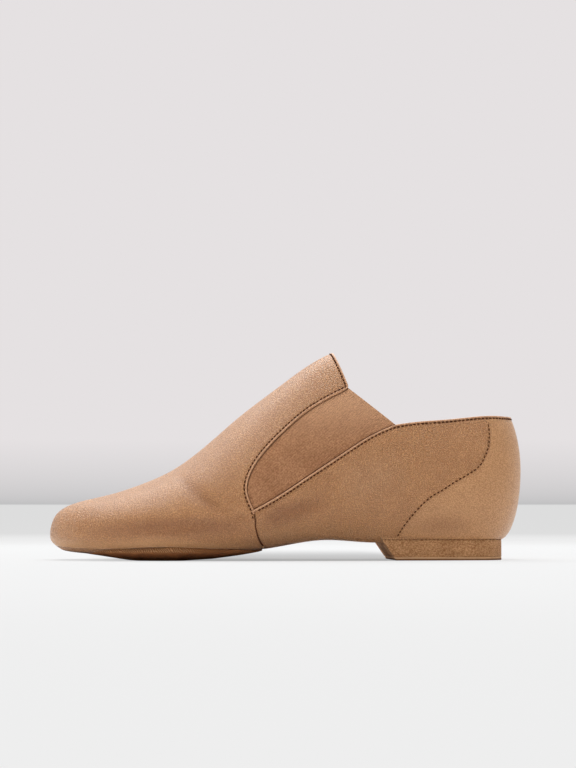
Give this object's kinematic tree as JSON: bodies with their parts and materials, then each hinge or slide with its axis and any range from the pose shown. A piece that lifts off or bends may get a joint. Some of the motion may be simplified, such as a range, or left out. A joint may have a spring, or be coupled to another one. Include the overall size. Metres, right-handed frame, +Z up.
{
  "type": "jazz shoe",
  "caption": "Slip-on leather jazz shoe with a high tabbed vamp, elastic gores at both sides, a split suede sole and a low suede heel.",
  "frame": {"origin": "middle of the shoe's length and width, on the floor it stands on", "axes": "-X to the toe, +X to the heel, -Y to the outer side of a left foot, +Z up"},
  "size_m": [0.245, 0.0864, 0.1074],
  "materials": {
    "leather": "tan grained leather, softly glossy",
    "elastic": "matte brown woven elastic",
    "suede": "brown suede, matte",
    "lift": "thin tan rubber lift, matte",
    "insole": "beige cloth insole, matte"
  },
  "bodies": {
    "root": {"upper": "leather", "gore_outer": "elastic", "gore_inner": "elastic", "forefoot_sole": "suede", "heel_block": "suede", "heel_lift": "lift", "insole": "insole"}
  },
  "joints": []
}
